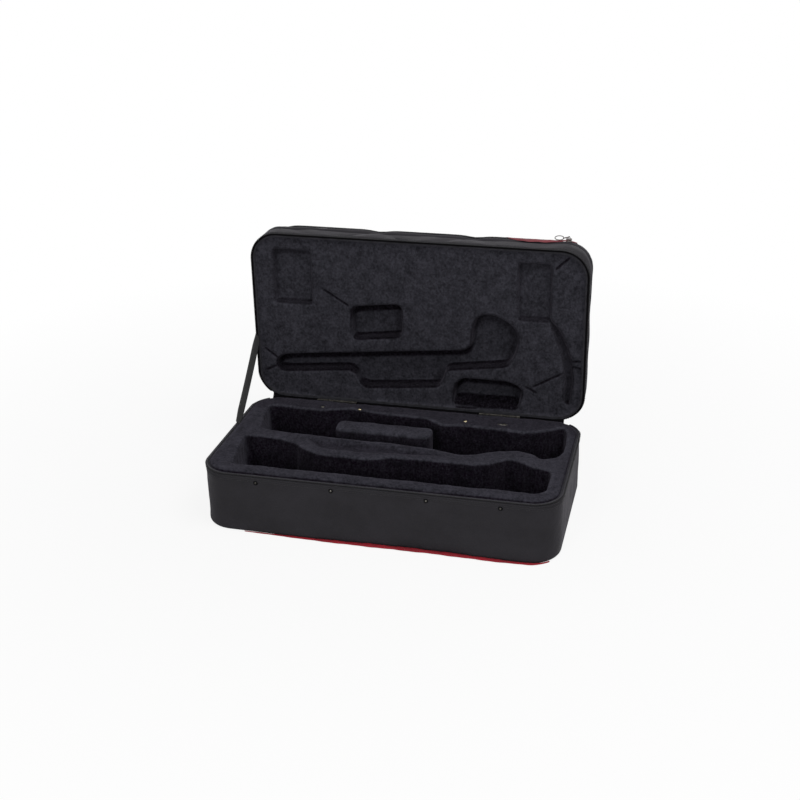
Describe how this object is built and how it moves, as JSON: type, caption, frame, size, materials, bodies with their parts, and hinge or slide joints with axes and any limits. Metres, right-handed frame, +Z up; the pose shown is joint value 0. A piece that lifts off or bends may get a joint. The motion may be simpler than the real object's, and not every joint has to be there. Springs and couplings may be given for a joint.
{
  "type": "trumpet case",
  "caption": "Soft-covered zip case with a hinged lid on a webbing stay, shaped plush wells for trumpets, an outer pocket with its own zip and a carrying handle.",
  "frame": {"origin": "centre of the base's underside", "axes": "+X along the case's length to its right, +Y to the rear where the lid is hinged, +Z up"},
  "size_m": [0.595, 0.3735, 0.4257],
  "materials": {
    "nylon_cover": "black woven nylon",
    "board": "thin stiff board, hidden",
    "plush": "charcoal short-pile plush over foam",
    "zip_tape": "black zip tape and binding",
    "zip_coil": "black nylon zip coil",
    "red_trim": "red woven piping and band",
    "webbing": "black webbing with an olive cast",
    "chrome": "bright",
    "hinge_steel": "dull plated steel",
    "black_metal": "black enamel",
    "grip_rubber": "matt moulded grip"
  },
  "bodies": {
    "base": {"base_cover": "nylon_cover", "base_shell": "board", "base_insert": "plush", "rear_well_block": "plush", "base_zip_tape": "zip_tape", "base_zip_coil": "zip_coil", "base_red_piping": "red_trim", "front_stud_1": "chrome", "front_stud_2": "chrome", "front_stud_3": "chrome", "front_stud_4": "chrome", "hinge_base_leaf_left": "hinge_steel", "hinge_base_leaf_right": "hinge_steel", "hinge_pin_left": "hinge_steel", "hinge_pin_right": "hinge_steel", "hinge_rivet_1": "hinge_steel", "hinge_rivet_2": "hinge_steel", "hinge_rivet_3": "hinge_steel", "hinge_rivet_4": "hinge_steel", "spine_strip": "nylon_cover", "stay_strap": "webbing", "handle_bracket_left": "chrome", "handle_bracket_right": "chrome", "handle_bracket_left_rivet_1": "chrome", "handle_bracket_left_rivet_2": "chrome", "handle_bracket_right_rivet_1": "chrome", "handle_bracket_right_rivet_2": "chrome", "handle_pin_left": "chrome", "handle_pin_right": "chrome"},
    "handle": {"handle_grip": "grip_rubber"},
    "slider_left": {"zip_slider_left": "black_metal"},
    "slider_right": {"zip_slider_right": "black_metal"},
    "pull_left": {"zip_pull_left": "black_metal"},
    "pull_right": {"zip_pull_right": "black_metal"},
    "lid": {"lid_cover": "nylon_cover", "lid_shell": "board", "lid_insert": "plush", "lid_zip_tape": "zip_tape", "lid_zip_coil": "zip_coil", "hinge_lid_leaf_left": "hinge_steel", "hinge_lid_leaf_right": "hinge_steel", "pocket_body": "nylon_cover", "pocket_red_band": "red_trim", "pocket_zip_chain": "zip_coil"},
    "pocket_slider": {"pocket_slider": "black_metal"},
    "pocket_pull": {"pocket_pull": "chrome"}
  },
  "joints": [
    {"name": "lid_hinge", "type": "hinge", "parent": "base", "child": "lid", "pos_m": [0, 0.155, 0.106], "axis": [1, 0, 0], "range_deg": [0, 88.86], "deforming": ["stay_strap", "spine_strip"]},
    {"name": "handle_swing", "type": "hinge", "parent": "base", "child": "handle", "pos_m": [0, 0.1652, 0.07], "axis": [1, 0, 0], "range_deg": [0, 120]},
    {"name": "zip_left", "type": "slide", "parent": "base", "child": "slider_left", "axis": [-1, 0, 0], "range_m": [0, 0.028]},
    {"name": "zip_right", "type": "slide", "parent": "base", "child": "slider_right", "axis": [1, 0, 0], "range_m": [0, 0.028]},
    {"name": "pull_left_swing", "type": "hinge", "parent": "slider_left", "child": "pull_left", "pos_m": [-0.206, 0.1618, 0.0971], "axis": [0, 1, 0], "range_deg": [-80, 80]},
    {"name": "pull_right_swing", "type": "hinge", "parent": "slider_right", "child": "pull_right", "pos_m": [0.206, 0.1618, 0.0971], "axis": [0, 1, 0], "range_deg": [-80, 80]},
    {"name": "pocket_zip", "type": "slide", "parent": "lid", "child": "pocket_slider", "axis": [1, 0, 0], "range_m": [-0.48, 0]},
    {"name": "pocket_pull_flip", "type": "hinge", "parent": "pocket_slider", "child": "pocket_pull", "pos_m": [0.253, 0.19988, 0.42416], "axis": [0, 0.9998, 0.0199], "range_deg": [0, 190]}
  ]
}
